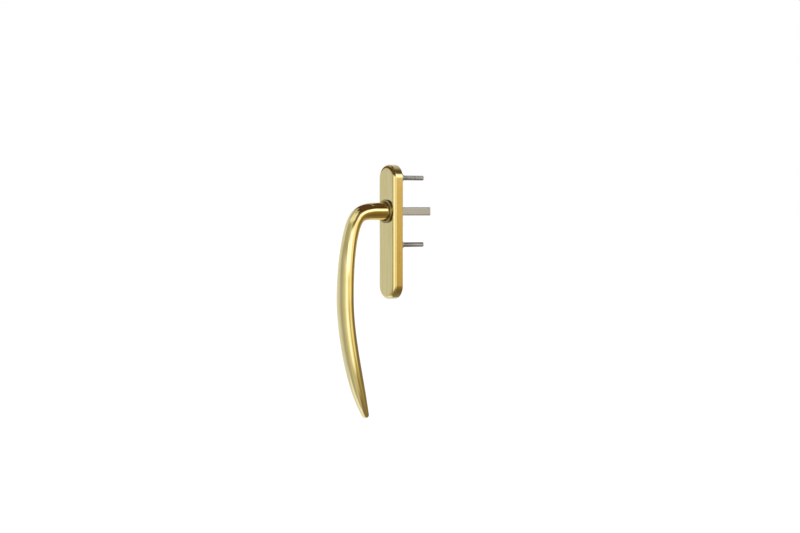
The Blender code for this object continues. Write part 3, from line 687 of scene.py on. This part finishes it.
def painted_light_collar_brass():
    """Unlacquered turned brass, painted dark brown as painted shade and dark reflection, with a painted
    highlight ring on top of the rim.
    """
    brass = Finish("collar_brass_painted_shade_and_highlight", 1.0)
    parts = brass.add("ShaderNodeSeparateXYZ", {0: brass.place}).outputs
    across = brass.sum(brass.sum(parts["X"], 2.0, "POWER"), brass.sum(parts["Z"], 2.0, "POWER"))
    radius = brass.sum(across, 0.5, "POWER")
    # painted highlight: a brighter ring round the top of the rim, laid over the dark base below, where the
    # rim would catch the light
    painted_highlight_ring = brass.sum(brass.span(radius, 0.0118, 0.0125), brass.span(radius, 0.0132, 0.0129), "MULTIPLY")
    stains = brass.span(brass.noise(420.0, 4.0, distortion=0.8), 0.35, 0.65, 0.75, 1.0)
    # painted shade: the base is dark brown, varied at random, standing in for the shade and dark reflections
    # round the neck
    dark = brass.mix(stains, (0.19, 0.15, 0.06), (0.28, 0.22, 0.09))
    brass.colour(brass.mix(brass.sum(painted_highlight_ring, stains, "MULTIPLY"), dark, (0.56, 0.48, 0.23)))
    turning = {"Vector": radius, "Scale": 9000.0, "Detail": 2.0}
    rings = brass.add("ShaderNodeTexNoise", turning).outputs["Fac"]
    brass.roughness(brass.span(rings, 0.3, 0.7, 0.20, 0.34))
    brass.bump((rings, 0.000003))
    return brass.material


def die_cast_zinc():
    """Tumbled zinc casting: fine grain, flow marks, brighter edges and grey stains."""
    zinc = Finish("die_cast_zinc", 1.0)
    clouds = zinc.noise(60.0, 5.0, distortion=0.8)
    stains = zinc.span(zinc.noise(230.0, 4.0), 0.50, 0.72)
    base = zinc.mix(zinc.span(clouds, 0.3, 0.7), (0.47, 0.48, 0.50), (0.60, 0.61, 0.62))
    worn = zinc.mix(zinc.span(zinc.edges(), 0.52, 0.60), base, (0.74, 0.74, 0.75))
    zinc.colour(zinc.mix(stains, worn, (0.38, 0.38, 0.39)))
    grain = zinc.noise(2600.0, 3.0)
    zinc.roughness(zinc.sum(zinc.span(clouds, 0.3, 0.7, 0.34, 0.48), zinc.span(grain, 0.3, 0.7, 0.0, 0.10)))
    zinc.bump((grain, 0.00002), (zinc.noise(320.0, 3.0, distortion=0.5), 0.00005))
    return zinc.material


def plated_steel(name, grain, smoothest, roughest):
    """Bright zinc plating over drawn or machined steel, with a faint blue and straw tint."""
    steel = Finish(name, 1.0)
    tint = steel.noise(90.0, 4.0, distortion=1.0)
    cool = steel.mix(steel.span(tint, 0.30, 0.55), (0.56, 0.60, 0.66), (0.67, 0.67, 0.66))
    warm = steel.mix(steel.span(tint, 0.58, 0.75), cool, (0.68, 0.64, 0.54))
    steel.colour(steel.mix(steel.span(steel.edges(), 0.53, 0.62), warm, (0.78, 0.78, 0.78)))
    marks = steel.noise(1800.0, 4.0, grain)
    dulled = steel.span(tint, 0.3, 0.7, 0.0, 0.08)
    steel.roughness(steel.sum(steel.span(marks, 0.3, 0.7, smoothest, roughest), dulled))
    steel.bump((marks, 0.000012))
    return steel.material


def spring_steel():
    """Tempered and blued strip, with rolling lines along it and straw at the warmer places."""
    steel = Finish("spring_steel", 1.0)
    temper = steel.noise(140.0, 3.0, distortion=0.7)
    blued = steel.mix(steel.span(temper, 0.3, 0.6), (0.13, 0.16, 0.24), (0.27, 0.28, 0.31))
    steel.colour(steel.mix(steel.span(temper, 0.62, 0.78), blued, (0.42, 0.34, 0.22)))
    lines = steel.noise(2400.0, 3.0, (1.0, 1.0, 0.04))
    steel.roughness(steel.span(lines, 0.3, 0.7, 0.24, 0.38))
    steel.bump((lines, 0.000010))
    return steel.material


def sintered_steel():
    """Oiled sintered steel: dark, matt, with open pores and a polished rubbing edge."""
    steel = Finish("sintered_steel", 1.0)
    pores = steel.span(steel.cells(5200.0), 0.10, 0.32)
    base = steel.mix(steel.span(steel.noise(300.0, 4.0), 0.3, 0.7), (0.25, 0.245, 0.24), (0.36, 0.35, 0.34))
    pitted = steel.mix(pores, (0.05, 0.05, 0.05), base)
    steel.colour(steel.mix(steel.span(steel.edges(), 0.53, 0.60), pitted, (0.52, 0.51, 0.50)))
    steel.roughness(steel.span(pores, 0.0, 1.0, 0.75, 0.48))
    steel.bump((pores, 0.00002))
    return steel.material


def moulded_plastic(name, dark, light, roughness, sheen_grain, subsurface=0.0):
    """Moulded plastic with a fine spark-eroded skin and slightly rubbed edges."""
    plastic = Finish(name, 0.0, subsurface_weight=subsurface, subsurface_scale=0.0006)
    clouds = plastic.noise(150.0, 4.0)
    base = plastic.mix(plastic.span(clouds, 0.3, 0.7), dark, light)
    rubbed = tuple(min(1.0, c * 1.35 + 0.02) for c in light)
    plastic.colour(plastic.mix(plastic.span(plastic.edges(), 0.54, 0.64), base, rubbed))
    skin = plastic.noise(sheen_grain, 3.0)
    plastic.roughness(plastic.span(skin, 0.3, 0.7, roughness - 0.08, roughness + 0.08))
    plastic.bump((skin, 0.00001))
    return plastic.material


def wear(obj, material):
    obj.data.materials.clear()
    obj.data.materials.append(material)


# Studio


def make_camera():
    """At the picture's viewing angle: from the right of the sash, a little above."""
    pitch = radians(VIEW_PITCH)
    level = Vector((-VIEW_RIGHT.y, VIEW_RIGHT.x, 0.0))
    forward = level * cos(pitch) - Vector((0.0, 0.0, sin(pitch)))
    up = VIEW_RIGHT.cross(forward)
    target = Vector((0.0, -PLATE_DEPTH, 0.0)) - VIEW_RIGHT * AIM_OFFSET[0] - up * AIM_OFFSET[1]
    data = bpy.data.cameras.new("camera")
    data.lens = LENS
    data.clip_start = 0.01
    data.clip_end = 100.0
    camera = bpy.data.objects.new("camera", data)
    turn = Matrix((VIEW_RIGHT, up, -forward)).transposed().to_4x4()
    camera.matrix_world = Matrix.Translation(target - forward * VIEW_DISTANCE) @ turn
    bpy.context.scene.collection.objects.link(camera)
    bpy.context.scene.camera = camera


def one_sided_glow(name, colour):
    """A card's own light, shown on its front only."""
    material = bpy.data.materials.new(name)
    material.use_nodes = True
    tree = material.node_tree
    tree.nodes.clear()
    glow = tree.nodes.new("ShaderNodeEmission")
    glow.inputs["Color"].default_value = (*colour, 1.0)
    glow.inputs["Strength"].default_value = 1.0
    clear = tree.nodes.new("ShaderNodeBsdfTransparent")
    side = tree.nodes.new("ShaderNodeNewGeometry")
    choice = tree.nodes.new("ShaderNodeMixShader")
    output = tree.nodes.new("ShaderNodeOutputMaterial")
    tree.links.new(side.outputs["Backfacing"], choice.inputs[0])
    tree.links.new(glow.outputs[0], choice.inputs[1])
    tree.links.new(clear.outputs[0], choice.inputs[2])
    tree.links.new(choice.outputs[0], output.inputs["Surface"])
    return material


def make_flag():
    """A dark card above the plate, which shades the plate's face from the ceiling in reflections only."""
    near = -PLATE_DEPTH
    far = near - FLAG_DEPTH
    side = FLAG_HALF_WIDTH
    z = FLAG_HEIGHT
    corners = [(-side, far, z), (-side, near, z), (side, near, z), (side, far, z)]
    mesh = bpy.data.meshes.new("flag")
    mesh.from_pydata(corners, [], [(0, 1, 2, 3)])
    mesh.materials.append(one_sided_glow("flag", (0.10, 0.05, 0.02)))
    flag = new_object("flag", mesh)
    flag.visible_camera = False
    flag.visible_diffuse = False
    flag.visible_transmission = False
    flag.visible_volume_scatter = False
    flag.visible_shadow = False


# What reflections see at eye level: degrees from straight out of the sash towards +X, colour
ROOM = (
    (-180.0, (0.24, 0.22, 0.20)),
    (-150.0, (0.22, 0.19, 0.16)),
    (-138.0, (0.74, 0.75, 0.76)),
    (-108.0, (0.80, 0.82, 0.84)),
    (-84.0, (0.75, 0.76, 0.79)),
    (-66.0, (0.71, 0.73, 0.77)),
    (-52.0, (0.62, 0.64, 0.66)),
    (-40.0, (0.42, 0.42, 0.42)),
    (-26.0, (0.44, 0.44, 0.43)),
    (-10.0, (0.58, 0.56, 0.48)),
    (5.0, (0.74, 0.73, 0.60)),
    (16.0, (0.94, 0.94, 0.96)),
    (28.0, (1.34, 1.34, 1.42)),
    (44.0, (1.16, 1.16, 1.06)),
    (53.0, (0.92, 0.86, 0.58)),
    (64.0, (0.86, 0.78, 0.46)),
    (76.0, (0.92, 0.84, 0.52)),
    (88.0, (1.12, 1.02, 0.80)),
    (102.0, (1.02, 0.92, 0.66)),
    (114.0, (0.82, 0.62, 0.28)),
    (127.0, (0.73, 0.49, 0.14)),
    (136.0, (0.32, 0.24, 0.10)),
    (148.0, (0.18, 0.13, 0.07)),
    (160.0, (0.17, 0.13, 0.09)),
    (180.0, (0.24, 0.22, 0.20)),
)
# Limits in degrees: all the way round, up or down, with room for the soft edges, and the sash side
ROUND_LEFT = -200.0
ROUND_RIGHT = 200.0
UP = 100.0
DOWN = -100.0
BEHIND = 156.0
# Parts of the surroundings over that, each over the ones before: azimuth range, elevation range, soft
# edge, colour
ROOM_PARTS = (
    # Above eye level
    ((-36.0, 62.0), (34.0, UP), 12.0, (0.92, 0.90, 0.78)),
    ((-35.0, 34.0), (12.0, 36.0), 9.0, (0.42, 0.41, 0.34)),
    ((20.0, 46.0), (18.0, 36.0), 7.0, (0.60, 0.58, 0.48)),
    ((-56.0, -37.0), (13.0, 38.0), 8.0, (0.74, 0.74, 0.72)),
    ((ROUND_LEFT, -36.0), (34.0, UP), 16.0, (0.48, 0.48, 0.50)),
    ((42.0, BEHIND), (23.0, 35.0), 6.0, (0.28, 0.24, 0.13)),
    ((58.0, BEHIND), (21.0, UP), 5.0, (0.20, 0.16, 0.07)),
    # Bright panes to the right
    ((30.0, 84.0), (7.0, 17.5), 5.0, (1.60, 1.60, 1.85)),
    ((44.0, 66.0), (12.0, 23.0), 6.0, (1.20, 1.18, 1.40)),
    ((90.0, 130.0), (12.0, 31.0), 14.0, (1.35, 1.35, 1.60)),
    ((113.0, 136.0), (5.0, 25.0), 5.0, (1.65, 1.65, 1.60)),
    # Dark overhead
    ((ROUND_LEFT, ROUND_RIGHT), (60.0, UP), 8.0, (0.55, 0.53, 0.46)),
    ((58.0, BEHIND), (50.0, UP), 10.0, (0.08, 0.045, 0.015)),
    ((116.0, BEHIND), (30.0, UP), 8.0, (0.08, 0.045, 0.015)),
    ((ROUND_LEFT, -105.0), (56.0, UP), 12.0, (0.14, 0.10, 0.05)),
    ((ROUND_LEFT, ROUND_RIGHT), (73.0, UP), 6.0, (0.08, 0.045, 0.015)),
    # Below eye level
    ((58.0, 80.0), (-15.0, -3.0), 6.0, (0.66, 0.55, 0.32)),
    ((82.0, 114.0), (-15.0, -3.0), 6.0, (0.95, 0.85, 0.58)),
    ((62.0, BEHIND), (DOWN, -14.0), 6.0, (0.44, 0.38, 0.20)),
    ((106.0, BEHIND), (DOWN, -8.0), 8.0, (0.36, 0.28, 0.12)),
    ((120.0, BEHIND), (DOWN, -3.0), 6.0, (0.26, 0.18, 0.07)),
    ((-3.0, BEHIND), (DOWN, -27.0), 8.0, (0.60, 0.56, 0.40)),
    ((46.0, BEHIND), (DOWN, -24.0), 8.0, (0.30, 0.25, 0.13)),
    ((12.0, BEHIND), (DOWN, -39.0), 12.0, (0.23, 0.18, 0.10)),
    ((-20.0, BEHIND), (DOWN, -48.0), 14.0, (0.24, 0.19, 0.12)),
    ((122.0, BEHIND), (DOWN, -22.0), 8.0, (0.18, 0.12, 0.05)),
    # Bright again, low on the left
    ((-70.0, -44.0), (DOWN, -24.0), 8.0, (0.95, 0.95, 1.05)),
    ((-60.0, -36.0), (DOWN, -35.0), 6.0, (0.95, 0.95, 1.05)),
    ((-60.0, -20.0), (DOWN, -45.0), 6.0, (0.95, 0.95, 1.05)),
)


def make_world():
    """Plain white for the camera and for soft light; reflections see the room's darker and lighter parts."""
    world = bpy.data.worlds.new("studio")
    bpy.context.scene.world = world
    world.use_nodes = True
    tree = world.node_tree
    tree.nodes.clear()

    def add(kind, inputs=(), **settings):
        node = tree.nodes.new(kind)
        for key, value in settings.items():
            setattr(node, key, value)
        for key, value in dict(inputs).items():
            if isinstance(value, bpy.types.NodeSocket):
                tree.links.new(value, node.inputs[key])
            else:
                node.inputs[key].default_value = value
        return node

    def maths(operation, a, b=0.0):
        return add("ShaderNodeMath", {0: a, 1: b}, operation=operation).outputs[0]

    def step(value, centre, edge):
        """0 below the centre and 1 above it, with a soft edge; a negative edge turns it round."""
        inputs = {"Value": value, "From Min": centre - edge / 2, "From Max": centre + edge / 2}
        return add("ShaderNodeMapRange", inputs, interpolation_type="SMOOTHSTEP").outputs["Result"]

    def mix(factor, a, b):
        return add("ShaderNodeMix", {0: factor, 6: a, 7: b}, data_type="RGBA").outputs[2]

    place = add("ShaderNodeTexCoord").outputs["Generated"]
    direction = add("ShaderNodeSeparateXYZ", {0: place})
    out_of_sash = maths("MULTIPLY", direction.outputs["Y"], -1.0)
    azimuth = maths("DEGREES", maths("ARCTAN2", direction.outputs["X"], out_of_sash))
    elevation = maths("DEGREES", maths("ARCSINE", direction.outputs["Z"]))
    ramp = add("ShaderNodeValToRGB", {0: maths("ADD", maths("DIVIDE", azimuth, 360.0), 0.5)})
    stops = ramp.color_ramp.elements
    while len(stops) < len(ROOM):
        stops.new(1.0)
    for stop, (turn, colour) in zip(stops, ROOM):
        stop.position = 0.5 + turn / 360.0
        stop.color = (*colour, 1.0)
    room = ramp.outputs["Color"]
    for (left, right), (low, high), edge, colour in ROOM_PARTS:
        across = maths("MULTIPLY", step(azimuth, left, edge), step(azimuth, right, -edge))
        upright = maths("MULTIPLY", step(elevation, low, edge), step(elevation, high, -edge))
        room = mix(maths("MULTIPLY", across, upright), room, (*colour, 1.0))
    glossy = add("ShaderNodeLightPath").outputs["Is Glossy Ray"]
    colour = mix(glossy, (1.0, 1.0, 1.0, 1.0), room)
    background = add("ShaderNodeBackground", {"Color": colour})
    add("ShaderNodeOutputWorld", {"Surface": background.outputs[0]})


def make_floor_and_lights():
    """A pale floor well below the handle, and one soft light from the room's upper right."""
    mesh = bpy.data.meshes.new("floor")
    size = 40.0
    corners = [(x, y, FLOOR_Z) for x, y in ((-size, -size), (size, -size), (size, size), (-size, size))]
    mesh.from_pydata(corners, [], [(0, 1, 2, 3)])
    pale = Finish("pale_floor", 0.0)
    pale.shader.inputs["Roughness"].default_value = 0.9
    pale.colour(pale.mix(pale.noise(3.0, 2.0), (0.93, 0.93, 0.93), (0.95, 0.95, 0.95)))
    mesh.materials.append(pale.material)
    floor = new_object("floor", mesh)
    floor.visible_glossy = False
    data = bpy.data.lights.new("soft_light", "SUN")
    data.energy = 0.8
    data.angle = radians(50.0)
    light = bpy.data.objects.new("soft_light", data)
    light.rotation_euler = Vector((-0.5, 0.6, -0.9)).to_track_quat("-Z", "Y").to_euler()
    light.visible_glossy = False
    bpy.context.scene.collection.objects.link(light)


def stand_in(obj, node, body, material):
    """A finished piece that takes a CAD node's place."""
    wear(obj, material)
    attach(obj, body)
    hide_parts(node)


def finish_cad_node(name, material, edge):
    """Keep the CAD piece: weld its triangles, round its edges a little and give it its finish."""
    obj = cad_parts[name]
    wear(obj, material)
    weld = obj.modifiers.new("weld", "WELD")
    weld.merge_threshold = 0.000001
    flat = obj.modifiers.new("join_flat_faces", "DECIMATE")
    flat.decimate_type = "DISSOLVE"
    flat.angle_limit = radians(0.5)
    bevel = obj.modifiers.new("rounded_edges", "BEVEL")
    bevel.width = edge
    bevel.segments = 2
    bevel.limit_method = "ANGLE"
    bevel.angle_limit = radians(40)
    bevel.harden_normals = False
    weighted = obj.modifiers.new("flat_faces_stay_flat", "WEIGHTED_NORMAL")
    weighted.keep_sharp = True


def main():
    bpy.context.scene.view_settings.view_transform = "Standard"
    make_camera()
    make_world()
    make_floor_and_lights()
    make_flag()

    mirror_brass = polished_brass("polished_brass_lever", ALONG_LEVER, 0.03, 0.06)
    satin_brass = polished_brass("polished_brass_plate", ALONG_LEVER, 0.14, 0.21)
    collar_brass_painted_light = painted_light_collar_brass()
    zinc = die_cast_zinc()
    drawn = plated_steel("plated_steel_drawn", ALONG_SPINDLE, 0.34, 0.46)
    machined = plated_steel("plated_steel_machined", EVEN, 0.20, 0.32)
    spring = spring_steel()
    sintered = sintered_steel()
    # the black nylon is tinted dark brown: its own near-black colour, with painted shade mixed in that
    # stands in for shaded brass round the neck
    nylon = moulded_plastic("black_nylon", (0.060, 0.048, 0.026), (0.085, 0.070, 0.040), 0.55, 3000.0)
    acetal = moulded_plastic("natural_acetal", (0.72, 0.70, 0.64), (0.80, 0.785, 0.73), 0.40, 2200.0, 0.3)

    stand_in(make_lever(), "lever", "turning_lever", mirror_brass)
    stand_in(make_cover_plate(), "cover_plate", "plate", satin_brass)
    stand_in(make_collar(), "collar_ring", "plate", collar_brass_painted_light)
    stand_in(make_collar_bush(), "collar_bush", "plate", nylon)
    stand_in(make_spindle(), "square_spindle", "turning_lever", drawn)
    for end in ("top", "bottom"):
        stand_in(make_fixing_screw(end), "fixing_screw_" + end, "plate", machined)
        stand_in(make_retainer_screw(end), "retainer_screw_" + end, "plate", machined)

    finish_cad_node("base_plate", zinc, 0.0003)
    finish_cad_node("bearing_bush", acetal, 0.0001)
    finish_cad_node("stop_pin", machined, 0.00015)
    finish_cad_node("retainer_plate", machined, 0.00015)
    finish_cad_node("spindle_pin", machined, 0.0002)
    finish_cad_node("stop_disc", machined, 0.0001)
    finish_cad_node("detent_cam", sintered, 0.0002)
    finish_cad_node("retaining_ring", spring, 0.0001)
    for side in ("left", "right"):
        finish_cad_node("detent_spring_" + side, spring, 0.0001)
    for end in ("top", "bottom"):
        finish_cad_node("cover_clip_" + end, spring, 0.0001)


main()
